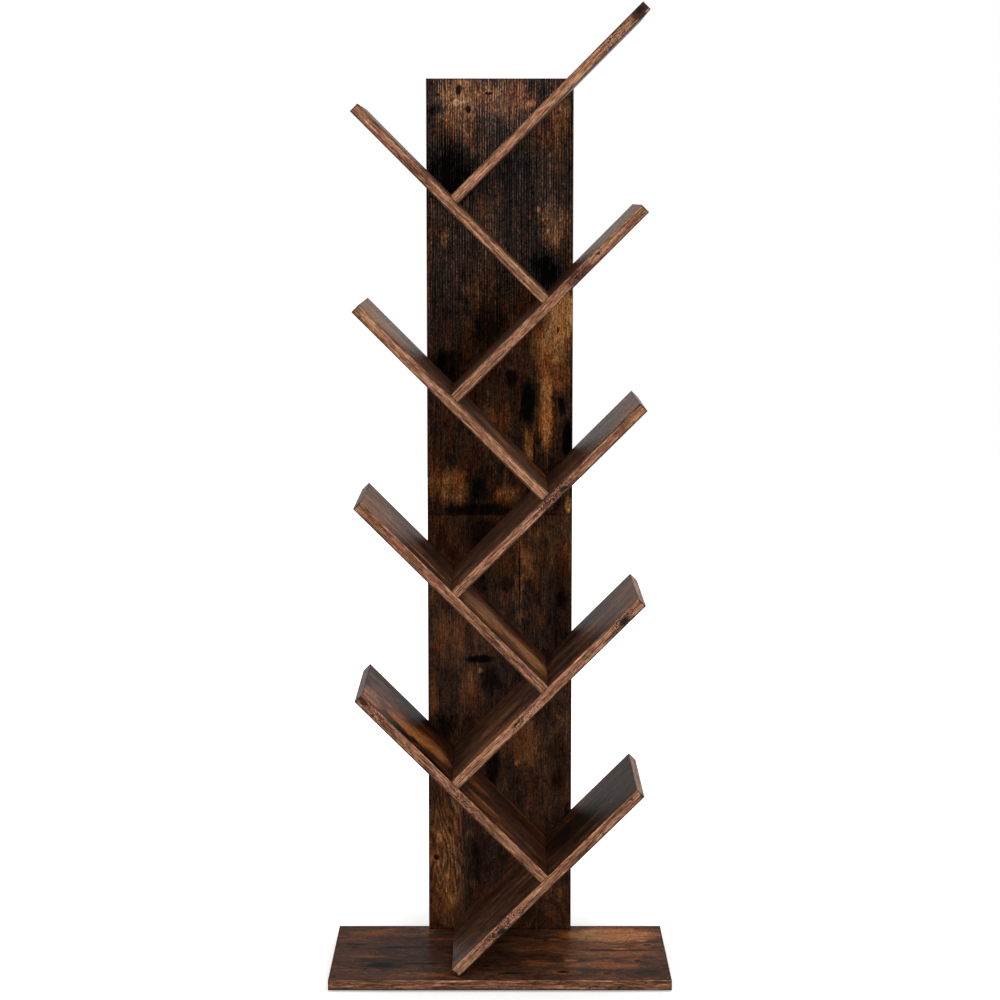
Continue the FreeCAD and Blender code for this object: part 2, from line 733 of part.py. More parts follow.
def plate_screw_placements():
    turn = FreeCAD.Rotation(UP, FORWARD)
    placements = []
    for side in (LEFT, RIGHT):
        for hole in ("Sizes.plate_hole_near", "Sizes.plate_hole_far"):
            for reach in (LEFT, RIGHT):
                x = f"({side} * Sizes.seam_plate_spacing / 2)"
                spot = point(x, "Sizes.base_depth / 2", f"({SEAM} + {reach} * {hole})")
                placements.append(FreeCAD.Placement(spot, turn))
    return placements


def make_fasteners(shelves):
    screw = connector_screw()
    peg = dowel()
    turn = FreeCAD.Rotation(UP, FORWARD)
    rear = "Sizes.base_depth / 2"
    spots = [place for step in range(SHELF_COUNT) for place in back_screw_places(step)]
    placements = [FreeCAD.Placement(point(x, rear, z), turn) for x, z in spots]
    group("back_screws", screw, placements)
    underside = "-Sizes.shelf_thickness"
    group("joint_screws", screw, joint_placements(shelves, "Sizes.joint_screw_inset", underside))
    seat = "-Sizes.dowel_seat"
    group("joint_dowels", peg, joint_placements(shelves, "Sizes.joint_dowel_inset", seat))
    caps = joint_placements(shelves, "Sizes.joint_screw_inset", underside)
    group("screw_caps", cover_cap(), caps)
    places = base_places("Sizes.base_screw_spacing")
    group("base_screws", screw, standing(places, "Sizes.glide_height"))
    places = base_places("Sizes.base_dowel_spacing")
    group("base_dowels", peg, standing(places, f"({BASE_TOP} - Sizes.dowel_seat)"))
    places = base_places("Sizes.seam_dowel_spacing")
    group("seam_dowels", peg, standing(places, f"({SEAM} - Sizes.dowel_length / 2)"))
    plates = []
    for side in (LEFT, RIGHT):
        spot = point(f"({side} * Sizes.seam_plate_spacing / 2)", rear, SEAM)
        plates.append(FreeCAD.Placement(spot, FreeCAD.Rotation()))
    group("seam_plates", joining_plate(), plates)
    group("seam_plate_screws", plate_screw(), plate_screw_placements())
    group("floor_glides", floor_glide(), standing(glide_places(), "0"))
    group("glide_nails", glide_nail(), standing(glide_places(), "Sizes.nail_sink"))


# The whole bookcase

make_base()
make_base_bands()
make_panel("back_panel_lower", BASE_TOP, "Sizes.lower_panel_length", False)
make_panel("back_panel_upper", SEAM, "Sizes.upper_panel_length", True)
make_panel_bands("lower", BASE_TOP, "Sizes.lower_panel_length")
make_panel_bands("upper", SEAM, "Sizes.upper_panel_length")
make_panel_top_band()
shelf_bodies = [make_shelf(step) for step in range(SHELF_COUNT)]
for step in range(SHELF_COUNT):
    make_shelf_bands(step)
doc.recompute()
make_fasteners(shelf_bodies)
doc.recompute()

# Nothing is written unless every feature holds and every cut takes material away
for item in doc.Objects:
    if "Invalid" in item.State or "Error" in item.State:
        raise RuntimeError(f"{item.Label} failed: {item.State}")
    if item.TypeId in ("PartDesign::Pocket", "PartDesign::Hole"):
        if item.Shape.Volume >= item.BaseFeature.Shape.Volume:
            raise RuntimeError(f"{item.Label} of {item.getParentGeoFeatureGroup().Label} cuts nothing")
for item in exported:
    if item.Shape.isNull() or not item.Shape.isValid():
        raise RuntimeError(f"{item.Label} has no valid shape")

os.makedirs("parts", exist_ok=True)
for item in exported:
    item.Shape.exportStep(os.path.join("parts", f"{item.Label}.step"))
    print(item.Label, len(item.Shape.Solids), round(item.Shape.Volume))
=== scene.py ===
import math

import bpy
from mathutils import Matrix, Vector


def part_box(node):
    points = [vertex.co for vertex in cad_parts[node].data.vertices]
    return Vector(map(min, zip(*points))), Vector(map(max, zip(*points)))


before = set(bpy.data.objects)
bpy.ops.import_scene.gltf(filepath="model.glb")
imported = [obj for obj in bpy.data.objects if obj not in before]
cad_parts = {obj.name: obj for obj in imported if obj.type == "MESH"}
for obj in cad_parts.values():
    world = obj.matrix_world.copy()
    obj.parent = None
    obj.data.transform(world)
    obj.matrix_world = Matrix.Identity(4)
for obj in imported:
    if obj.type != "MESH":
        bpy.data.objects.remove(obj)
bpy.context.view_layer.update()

bl_info = {
    "name": "Tree bookcase",
    "version": (1, 0, 0),
    "blender": (4, 5, 0),
    "location": "3D View > Sidebar > Bookcase",
    "description": "Finishes and studio for a tree bookcase of printed boards",
    "category": "Object",
}

MM = 0.001  # a millimetre in metres
THROUGH = 1.0e6  # a half size, in millimetres, so large that a mark goes right through its board
SMALL_MARK = 20.0  # marks with a shorter half length have less torn edges
SEED_STEPS = (7.31, 3.17, 5.71)  # how far one step of a seed moves a random pattern
END_SEED = 50.0  # from a board's seed to that of the bands on its ends
BAND_SEED = 20.0  # from a board's seed to that of its edge band
# The painted shade and painted highlight at a band's arrises run between these two distances
ARRIS_START = 5.5  # millimetres from the middle of a band, where its arris begins to change
ARRIS_FULL = 6.3  # and where the change is complete


def linear(colour):
    """A six-digit sRGB hex colour as linear red, green, blue and a full alpha."""
    parts = [int(colour[i:i + 2], 16) / 255 for i in (0, 2, 4)]
    return (*[c / 12.92 if c <= 0.04045 else ((c + 0.055) / 1.055) ** 2.4 for c in parts], 1.0)


def colour_property(name, description, colour):
    return bpy.props.FloatVectorProperty(
        name=name,
        description=description,
        subtype="COLOR",
        size=4,
        min=0.0,
        max=1.0,
        default=linear(colour),
    )


# Settings that a user would change

class PrintSettings(bpy.types.PropertyGroup):
    """The boards' wood print"""

    soot: colour_property("Soot", "Blackest parts of the print", "090605")
    umber: colour_property("Umber", "Dark ground of the print", "261c17")
    walnut: colour_property("Walnut", "Middle brown of the print", "4d3728")
    amber: colour_property("Amber", "Golden brown of the worn patches", "875931")
    straw: colour_property("Straw", "Palest grain in the worn patches", "bd8f5c")
    ash: colour_property("Ash", "Cool grey of the raised lines in the dark parts", "524f49")
    cloud: bpy.props.FloatProperty(
        name="Cloud length", description="Length of a light or dark cloud along the grain",
        subtype="DISTANCE", unit="LENGTH", precision=4, default=0.12, min=0.02, max=0.4)
    fibre: bpy.props.FloatProperty(
        name="Fibre width", description="Width of one line of the grain",
        subtype="DISTANCE", unit="LENGTH", precision=4, default=0.0018, min=0.0003, max=0.005)
    rib: bpy.props.FloatProperty(
        name="Rib spacing", description="Distance between two raised lines",
        subtype="DISTANCE", unit="LENGTH", precision=4, default=0.0037, min=0.002, max=0.02)
    roughness: bpy.props.FloatProperty(
        name="Roughness", description="Roughness of the pressed resin surface",
        subtype="FACTOR", default=0.34, min=0.05, max=1.0)
    shine: bpy.props.FloatProperty(
        name="Shine", description="Strength of the resin's reflection",
        subtype="FACTOR", default=0.0085, min=0.0, max=1.0)


class BandSettings(bpy.types.PropertyGroup):
    """The edge bands' wood print"""

    streak: colour_property("Streak", "Dark streaks of the edge bands", "382118")
    ground: colour_property("Ground", "Reddish brown ground of the edge bands", "825c49")
    light: colour_property("Light", "Pale grain of the edge bands", "c29b82")
    dusk: colour_property("Dusk", "Violet cast of the veined stretches", "d2c4d2")
    roughness: bpy.props.FloatProperty(
        name="Roughness", description="Roughness of the embossed band",
        subtype="FACTOR", default=0.5, min=0.05, max=1.0)
    shine: bpy.props.FloatProperty(
        name="Shine", description="Strength of the band's reflection",
        subtype="FACTOR", default=0.12, min=0.0, max=1.0)


class FittingSettings(bpy.types.PropertyGroup):
    """Screws, plates, dowels, caps and glides"""

    zinc: colour_property("Zinc", "Bright zinc plating", "c4c8cc")
    beech: colour_property("Beech", "Turned beech", "c79b6c")
    cap: colour_property("Caps", "Moulded cover caps", "4a3122")
    glide: colour_property("Glides", "Moulded floor glides", "1b1917")


class StudioSettings(bpy.types.PropertyGroup):
    """Camera, lamps and floor"""

    camera_side: bpy.props.FloatProperty(
        name="Camera side step", description="How far the camera stands to the right of the middle",
        subtype="DISTANCE", unit="LENGTH", precision=4, default=0.0002, min=-1.0, max=1.0)
    camera_back: bpy.props.FloatProperty(
        name="Camera distance", description="How far the camera stands in front of the middle",
        subtype="DISTANCE", unit="LENGTH", default=3.3387, min=0.5)
    camera_height: bpy.props.FloatProperty(
        name="Camera height", description="Height of the lens over the floor",
        subtype="DISTANCE", unit="LENGTH", default=1.15, min=0.0)
    camera_tilt: bpy.props.FloatProperty(
        name="Camera tilt", description="How far the camera looks down",
        subtype="ANGLE", unit="ROTATION", default=0.1193)
    lens: bpy.props.FloatProperty(
        name="Lens", description="Focal length on a 36 mm frame",
        unit="CAMERA", default=82.41, min=10.0)
    lens_shift: bpy.props.FloatProperty(
        name="Lens shift", description="Upright shift of the lens, as a share of the frame",
        default=-0.03, min=-0.1, max=0.1)
    room: bpy.props.FloatProperty(
        name="Room light", description="Even light from all round",
        default=0.5, min=0.0, max=2.0)
    floor: colour_property("Floor", "Pale studio floor", "ececec")


# Shader building

def add(tree, kind, inputs=(), stops=(), **settings):
    """Adds one shader node, makes its settings, then fills or links its inputs.

    The inputs come by name or place, or as a plain row in the order of the node's sockets."""
    made = tree.nodes.new("ShaderNode" + kind)
    for name, value in settings.items():
        setattr(made, name, value)
    if stops:
        made.color_ramp.elements[0].position = stops[0][0]
        made.color_ramp.elements[1].position = stops[-1][0]
        for place, _ in stops[1:-1]:
            made.color_ramp.elements.new(place)
        for element, (_, colour) in zip(made.color_ramp.elements, stops):
            element.color = colour
    for name, value in inputs.items() if isinstance(inputs, dict) else enumerate(inputs):
        if isinstance(name, str):
            socket = next(s for s in made.inputs if s.enabled and s.name == name)
        else:
            socket = made.inputs[name]
        if isinstance(value, bpy.types.Node):
            value = next(s for s in value.outputs if s.enabled)
        if isinstance(value, bpy.types.NodeSocket):
            tree.links.new(value, socket)
        else:
            socket.default_value = value
    return made


def new_material(name):
    material = bpy.data.materials.new(name)
    material.use_nodes = True
    material.node_tree.nodes.clear()
    return material, material.node_tree


def board_turn(along, face):
    """Turns a board's own length, width and thickness into the bookcase's directions."""
    length = Vector(along).normalized()
    out = Vector(face).normalized()
    width = out.cross(length)
    return Matrix((length, width, out)).transposed()


def on_board(tree, board):
    """Millimetres along the board's grain, across it and out of its face, from its middle."""
    low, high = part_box(board.node)
    position = add(tree, "TexCoord")
    return add(tree, "Mapping", {
        "Vector": position.outputs["Object"],
        "Location": (low + high) / 2,
        "Rotation": board_turn(board.along, board.face).to_euler(),
        "Scale": (MM, MM, MM),
    }, vector_type="TEXTURE")


def grain(tree, place, length, width, seed, detail=3.0, roughness=0.6, distortion=0.0):
    """A random pattern whose spots are so many millimetres long and wide."""
    stretched = add(tree, "Mapping", {
        "Vector": place,
        "Scale": (1 / length, 1 / width, 1 / width),
        "Location": [seed * step for step in SEED_STEPS],
    })
    return add(tree, "TexNoise", {
        "Vector": stretched,
        "Scale": 1.0,
        "Detail": detail,
        "Roughness": roughness,
        "Distortion": distortion,
    })


def mark(tree, place, centre, half, softness):
    """A soft oval spot, 1 in its middle and 0 outside."""
    inside = add(tree, "Mapping", {
        "Vector": place,
        "Location": centre,
        "Scale": half,
    }, vector_type="TEXTURE")
    away = add(tree, "VectorMath", (inside,), operation="LENGTH")
    return add(tree, "MapRange", {
        "Value": away.outputs["Value"],
        "From Min": 1.0,
        "From Max": 1.0 - softness,
    }, interpolation_type="SMOOTHSTEP")


def ragged(tree, place, seed, along, across):
    """The same place, shifted a little at random, so that spots have torn edges."""
    shake = grain(tree, place, 14.0, 5.0, seed, detail=4.0)
    middle = add(tree, "VectorMath", (shake.outputs["Color"], (0.5, 0.5, 0.5)), operation="SUBTRACT")
    wide = add(tree, "VectorMath", (middle, (along, across, across)), operation="MULTIPLY")
    return add(tree, "VectorMath", (place, wide), operation="ADD")


def ribs(tree, place, seed, apart):
    """Raised lines along the grain, so many millimetres apart, that waver and fade."""
    stretched = add(tree, "Mapping", {
        "Vector": place,
        "Scale": (1 / 90, 1 / apart, 1 / apart),
        "Location": (seed * 2.3, seed * 0.7, 0.0),
    })
    return add(tree, "TexWave", {
        "Vector": stretched,
        "Scale": math.pi / 10,
        "Distortion": 4.5,
        "Detail": 3.0,
        "Detail Scale": 2.2,
    }, bands_direction="Y")


def rings(tree, place, length, width, seed, turns):
    """Cathedral grain: contour lines of a slow swell, as a board sawn along the trunk shows them."""
    swell = grain(tree, place, length, width, seed, detail=1.5, roughness=0.45)
    turned = add(tree, "Math", (swell, turns), operation="MULTIPLY")
    return add(tree, "Math", (turned,), operation="SINE")


def patches(tree, place, ovals, level, axes=(0, 1), softness=0.65):
    """Soft ovals added up on a level, each right through the board.

    An oval is (middle, middle, half size, half size, strength) on the two axes."""
    value = level
    for first, second, half_first, half_second, strength in ovals:
        centre = [0.0, 0.0, 0.0]
        half = [THROUGH, THROUGH, THROUGH]
        centre[axes[0]] = first
        centre[axes[1]] = second
        half[axes[0]] = half_first
        half[axes[1]] = half_second
        spot = mark(tree, place, centre, half, softness)
        value = add(tree, "Math", (spot, strength, value), operation="MULTIPLY_ADD")
    return value


def rim(tree, shade, apart, half, start, full, gain):
    """Changes the shade towards the edges of a face that reaches so far along and across."""
    over = []
    for axis, reach in half.items():
        away = add(tree, "Math", (apart.outputs[axis],), operation="ABSOLUTE")
        over.append(add(tree, "Math", (away, reach), operation="SUBTRACT"))
    edge = over[0]
    for other in over[1:]:
        edge = add(tree, "Math", (edge, other), operation="MAXIMUM")
    near = add(tree, "MapRange", (edge, -start, -full))
    return add(tree, "Math", (near, gain, shade), operation="MULTIPLY_ADD")


class Board:
    """One board: its node, the way its grain and its face look, and how its print differs.

    Its half size along and across is in millimetres. tone lightens the print, red warms it,
    contrast scales its unevenness, and planks is the strength of its broad lines. ribs are the
    strength of the raised lines at the foot and at the head, and where along the board it changes.
    Marks, veined and ashen patches are ovals: (along, across, half length, half width, strength).
    Knots leave the strength out. band holds what differs on its edge band, where the second place
    of an oval is out of the board's face.
    """

    def __init__(self, node, along, face, half, seed, tone=0.0, red=0.0, contrast=1.0, planks=0.0,
                 ribs=(0.3, 0.3, 0.0), marks=(), knots=(), veined=(), ashen=(), band=None):
        self.node = node
        self.along = along
        self.face = face
        self.half = half
        self.seed = seed
        self.tone = tone
        self.red = red
        self.contrast = contrast
        self.planks = planks
        self.ribs = ribs
        self.marks = marks
        self.knots = knots
        self.veined = veined
        self.ashen = ashen
        self.band = band or {}

    def turned(self):
        """The same board with its grain across, for the bands on its ends."""
        across = Vector(self.face).cross(Vector(self.along))
        # The end bands get a painted dark line at their upper arris, as shade of the rounded edge
        band = {"tone": self.band.get("end", -0.06), "arris": -0.4}
        return Board(self.node, across, self.face, self.half[::-1], self.seed + END_SEED, band=band)


def printed_board(board):
    """Melamine-faced particle board: a wood print under clear resin, pressed with fine pores.
    The eye sees near black and dark brown with golden worn patches, grey raised lines along the
    grain, small knots, a face that darkens towards its edges and a satin sheen that shows at a glancing
    angle.
    Real pores and fibres are 0.2 to 0.5 mm wide, and are drawn 1.5 to 2.2 mm wide so that they show."""
    finish = bpy.context.scene.bookcase_print
    material, tree = new_material("melamine_print_" + board.node)
    place = on_board(tree, board)
    apart = add(tree, "SeparateXYZ", (place,))
    seed = board.seed
    torn = ragged(tree, place, seed + 6.1, 30.0, 13.0)
    frayed = ragged(tree, place, seed + 6.1, 9.0, 5.0)
    cloud = grain(tree, place, finish.cloud / MM, 34.0, seed, detail=5.0, roughness=0.62, distortion=0.4)
    streak = grain(tree, place, 90.0, 4.5, seed + 1.3, roughness=0.65)
    mottle = grain(tree, place, 12.0, 7.0, seed + 2.1, detail=5.0, roughness=0.8)
    stain = grain(tree, place, 46.0, 26.0, seed + 9.1, detail=6.0, roughness=0.66, distortion=0.8)
    fibre = grain(tree, place, 22.0, finish.fibre / MM, seed + 3.7, detail=2.0, roughness=0.55)
    pore = grain(tree, place, 7.0, 1.5, seed + 4.9, detail=1.0)
    speckle = grain(tree, place, 3.6, 2.2, seed + 5.1, detail=2.0)
    rib = ribs(tree, place, seed + 5.3, finish.rib / MM)
    ring = rings(tree, place, 230.0, 30.0, seed + 7.9, 120.0)

    # How light the print is: marks on a level, then unevenness of several sizes round that level
    parts = [(cloud, 0.60), (streak, 0.40), (mottle, 0.60)]
    if board.planks:
        plank = grain(tree, place, 260.0, 15.0, seed + 6.7, detail=2.0, roughness=0.5)
        parts.append((plank, board.planks))
    level = 0.40 + board.tone - 0.5 * board.contrast * sum(gain for _, gain in parts)
    # Every knot sits in a halo of paler wood
    halos = [(a, b, 2.4 * half_a + 3, 2.2 * half_b + 4, 0.13) for a, b, half_a, half_b in board.knots]
    large = [spot for spot in board.marks if spot[2] >= SMALL_MARK]
    small = [spot for spot in board.marks if spot[2] < SMALL_MARK]
    value = patches(tree, torn, [*large, *halos], level)
    value = patches(tree, frayed, small, value)
    for part, gain in parts:
        value = add(tree, "Math", (part, board.contrast * gain, value), operation="MULTIPLY_ADD")
    stained = add(tree, "MapRange", (stain, 0.50, 0.58))
    value = add(tree, "Math", (stained, -0.12, value), operation="MULTIPLY_ADD")
    veins = patches(tree, torn, board.veined, 0.02)
    value = add(tree, "Math", (veins, ring, value), operation="MULTIPLY_ADD")

    # The raised lines: stronger at one end of the board, and worn away here and there
    foot, head, change = board.ribs
    strength = add(tree, "MapRange", (apart.outputs["X"], change - 45.0, change + 45.0, foot, head))
    worn = grain(tree, place, 24.0, 8.0, seed + 9.7, roughness=0.7)
    kept = add(tree, "MapRange", (worn, 0.36, 0.62, 0.2, 1.2))
    broken = add(tree, "MapRange", (speckle, 0.36, 0.60, 0.2, 1.5))
    beat = add(tree, "Math", (rib.outputs["Fac"], 0.5), operation="SUBTRACT")
    for factor in (strength, kept, broken):
        beat = add(tree, "Math", (beat, factor), operation="MULTIPLY")
    relief = add(tree, "Math", (pore, -0.6, fibre), operation="MULTIPLY_ADD")
    relief = add(tree, "Math", (beat, 0.8, relief), operation="MULTIPLY_ADD")
    muted = add(tree, "MapRange", (value, 0.40, 0.75, 1.0, 0.55))
    beat = add(tree, "Math", (beat, muted), operation="MULTIPLY")

    lit = add(tree, "Math", (beat, 0.22, value), operation="MULTIPLY_ADD")
    colour = add(tree, "ValToRGB", (lit,), stops=[
        (0.02, finish.soot),
        (0.26, finish.umber),
        (0.48, finish.walnut),
        (0.70, finish.amber),
        (0.95, finish.straw),
    ])
    hue = grain(tree, place, 60.0, 22.0, seed + 8.3, detail=2.0)
    warm = 0.3 * board.red
    tint = add(tree, "Mix", {
        "Factor": add(tree, "MapRange", (hue, 0.42 - warm, 0.66 - warm)),
        "A": linear("fff6ee"),
        "B": linear("ffd2b2"),
    }, data_type="RGBA")
    tinted = add(tree, "Mix", {
        "Factor": 1.0,
        "A": colour,
        "B": tint,
    }, data_type="RGBA", blend_type="MULTIPLY")

    # In an ashen patch the darker print has lost some of its warmth
    ashen = patches(tree, torn, board.ashen, 0.0)
    darker = add(tree, "MapRange", (value, 0.60, 0.30, 0.35, 1.0))
    cold = add(tree, "Math", (ashen, darker), operation="MULTIPLY")
    warmth = add(tree, "Math", (1.0, cold), operation="SUBTRACT")
    tinted = add(tree, "HueSaturation", {"Saturation": warmth, "Color": tinted})

    # Light and dark along the fibres, in the pores and in the knots' hearts, and darker towards the
    # face's edges
    fine = 0.30 * board.contrast
    coarse = 0.50 * board.contrast
    lines = add(tree, "MapRange", (fibre, 0.3, 0.7, 1.0 - fine, 1.0 + fine))
    grit = add(tree, "MapRange", (speckle, 0.32, 0.68, 1.0 - coarse, 1.0 + coarse))
    shade = add(tree, "Math", (lines, grit), operation="MULTIPLY")
    shade = add(tree, "Math", (beat, 1.1, shade), operation="MULTIPLY_ADD")
    pits = add(tree, "MapRange", (pore, 0.56, 0.66, 1.0, 0.35))
    hearts = patches(tree, frayed, [(*knot, -0.92) for knot in board.knots], 1.0, softness=0.45)
    for factor in (pits, hearts):
        shade = add(tree, "Math", (shade, factor), operation="MULTIPLY")
    shade = rim(tree, shade, apart, dict(zip("XY", board.half)), start=1.8, full=0.4, gain=-0.5)
    shade = add(tree, "Math", (shade, 0.06), operation="MAXIMUM")
    printed = add(tree, "VectorMath", {0: tinted, "Scale": shade}, operation="SCALE")

    # Where the print is dark, but not black, the raised lines have rubbed to a cool grey
    bare = add(tree, "MapRange", (value, 0.50, 0.25, 0.0, 0.6))
    for part, low, high in ((beat, 0.05, 0.45), (value, -0.08, 0.14)):
        rubbed = add(tree, "MapRange", (part, low, high))
        bare = add(tree, "Math", (bare, rubbed), operation="MULTIPLY")
    printed = add(tree, "Mix", {"Factor": bare, "A": printed, "B": finish.ash}, data_type="RGBA")

    bump = add(tree, "Bump", {"Strength": 0.15, "Distance": 0.4 * MM, "Height": relief})
    even = finish.roughness
    surface = add(tree, "BsdfPrincipled", {
        "Base Color": printed,
        "Roughness": add(tree, "MapRange", (streak, 0.3, 0.7, even - 0.05, even + 0.07)),
        "Specular IOR Level": finish.shine,
        "Normal": bump,
    })
    add(tree, "OutputMaterial", {"Surface": surface})
    return material


def printed_band(board):
    """Melamine edge band: a reddish brown wood print on a thin embossed strip, glued on hot.
    The eye sees fine dark streaks along the edge and curled veins round small knots. At each arris
    the band has a dark line: painted shade of the rounded arris, partly a dark glue line. On
    some bands the upper arris is lighter instead, a painted highlight where the rounded edge catches
    the light. The real streaks are about half a millimetre wide, and are drawn wider so that they show."""
    finish = bpy.context.scene.bookcase_bands
    looks = board.band
    material, tree = new_material("edge_band_print_" + board.node)
    place = on_board(tree, board)
    apart = add(tree, "SeparateXYZ", (place,))
    seed = board.seed + BAND_SEED
    torn = ragged(tree, place, seed + 6.1, 6.0, 2.5)
    streak = grain(tree, place, 55.0, 1.9, seed, roughness=0.62)
    fibre = grain(tree, place, 11.0, 1.2, seed + 1.1, detail=2.0)
    cloud = grain(tree, place, 38.0, 9.0, seed + 2.3)
    speck = grain(tree, place, 4.5, 1.5, seed + 3.9, detail=1.0)
    curl = rings(tree, place, 17.0, 6.0, seed + 5.7, 62.0)

    # How light the print is: marks on a level, then unevenness of several sizes round that level
    parts = ((streak, 1.5), (fibre, 1.2), (cloud, 0.6))
    level = 0.50 + looks.get("tone", 0.0) - 0.5 * sum(gain for _, gain in parts)
    value = patches(tree, torn, looks.get("marks", ()), level, axes=(0, 2))
    for part, gain in parts:
        value = add(tree, "Math", (part, gain, value), operation="MULTIPLY_ADD")
    veined = patches(tree, torn, looks.get("veined", ()), 0.0, axes=(0, 2))
    value = add(tree, "Math", (veined, curl, value), operation="MULTIPLY_ADD")
    colour = add(tree, "ValToRGB", (value,), stops=[
        (0.12, finish.streak),
        (0.50, finish.ground),
        (0.84, finish.light),
    ])
    hue = grain(tree, place, 30.0, 6.0, seed + 4.7, detail=2.0)
    tint = add(tree, "ValToRGB", (hue,), stops=[
        (0.36, linear("fff0cc")),
        (0.52, linear("fff4e4")),
        (0.66, linear("ffdcd0")),
    ])
    tinted = add(tree, "Mix", {
        "Factor": 1.0,
        "A": colour,
        "B": tint,
    }, data_type="RGBA", blend_type="MULTIPLY")
    tinted = add(tree, "Mix", {
        "Factor": add(tree, "MapRange", (veined, 0.0, 0.7)),
        "A": tinted,
        "B": finish.dusk,
    }, data_type="RGBA", blend_type="MULTIPLY")

    # Light and dark in the specks, in the knots' hearts and at the ends; at both arrises painted shade of
    # the rounded edge, and on some upper arrises a painted highlight instead
    shade = add(tree, "MapRange", (speck, 0.58, 0.68, 1.0, 0.45))
    knots = [(*knot, -0.92) for knot in looks.get("knots", ())]
    hearts = patches(tree, torn, knots, 1.0, axes=(0, 2), softness=0.5)
    shade = add(tree, "Math", (shade, hearts), operation="MULTIPLY")
    # The lower arris gets a painted dark line; the upper arris gets a painted highlight where arris is
    # above 0 and painted shade where it is below
    for side, gain in ((-1.0, -0.8), (1.0, looks.get("arris", -0.7))):
        near = add(tree, "MapRange", (apart.outputs["Z"], side * ARRIS_START, side * ARRIS_FULL))
        shade = add(tree, "Math", (near, gain, shade), operation="MULTIPLY_ADD")
    shade = rim(tree, shade, apart, {"X": board.half[0]}, start=0.8, full=0.0, gain=-0.7)
    shade = add(tree, "Math", (shade, 0.08), operation="MAXIMUM")
    printed = add(tree, "VectorMath", {0: tinted, "Scale": shade}, operation="SCALE")

    relief = add(tree, "Math", (streak, 0.7, fibre), operation="MULTIPLY_ADD")
    bump = add(tree, "Bump", {"Strength": 0.3, "Distance": 0.3 * MM, "Height": relief})
    even = finish.roughness
    surface = add(tree, "BsdfPrincipled", {
        "Base Color": printed,
        "Roughness": add(tree, "MapRange", (streak, 0.3, 0.7, even + 0.07, even - 0.05)),
        "Specular IOR Level": finish.shine,
        "Normal": bump,
    })
    add(tree, "OutputMaterial", {"Surface": surface})
    return material


def mottled(name, colour, length, width, contrast, roughness, metallic=0.0):
    """A plain finish with slight cloudiness, fine grain and a little unevenness in its gloss.

    Its clouds are so many millimetres long and wide."""
    material, tree = new_material(name)
    position = add(tree, "TexCoord")
    place = add(tree, "Mapping", {
        "Vector": position.outputs["Object"],
        "Scale": (1 / MM, 1 / MM, 1 / MM),
    })
    cloud = grain(tree, place, length, width, 2.0, detail=4.0)
    fine = grain(tree, place, 0.6, 0.6, 5.0, detail=2.0)
    shade = add(tree, "MapRange", (cloud, 0.3, 0.7, 1.0 - contrast, 1.0 + contrast))
    tone = add(tree, "VectorMath", {0: colour[:3], "Scale": shade}, operation="SCALE")
    bump = add(tree, "Bump", {"Strength": 0.2, "Distance": 0.2 * MM, "Height": fine})
    surface = add(tree, "BsdfPrincipled", {
        "Base Color": tone,
        "Metallic": metallic,
        "Roughness": add(tree, "MapRange", (cloud, 0.3, 0.7, roughness - 0.08, roughness + 0.08)),
        "Normal": bump,
    })
    add(tree, "OutputMaterial", {"Surface": surface})
    return material


def seen_rays(tree):
    """1 for the rays that show the surroundings: seen directly, mirrored or through something."""
    rays = add(tree, "LightPath")
    seen = rays.outputs["Is Camera Ray"]
    for kind in ("Is Glossy Ray", "Is Transmission Ray"):
        seen = add(tree, "Math", (seen, rays.outputs[kind]), operation="MAXIMUM")
    return seen


def dress(node, material):
    """Puts a material on every material slot of a piece."""
    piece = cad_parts[node]
    if not piece.material_slots:
        piece.data.materials.append(material)
    for slot in piece.material_slots:
        slot.material = material


# The boards, with places and sizes in millimetres from the middle of each board

SLOPE = math.sqrt(0.5)  # the shelves slope at 45 degrees
RIGHT = (SLOPE, 0.0, SLOPE)
RIGHT_FACE = (-SLOPE, 0.0, SLOPE)
LEFT = (-SLOPE, 0.0, SLOPE)
LEFT_FACE = (SLOPE, 0.0, SLOPE)
UP = (0.0, 0.0, 1.0)
FRONT = (0.0, -1.0, 0.0)
ACROSS = (1.0, 0.0, 0.0)

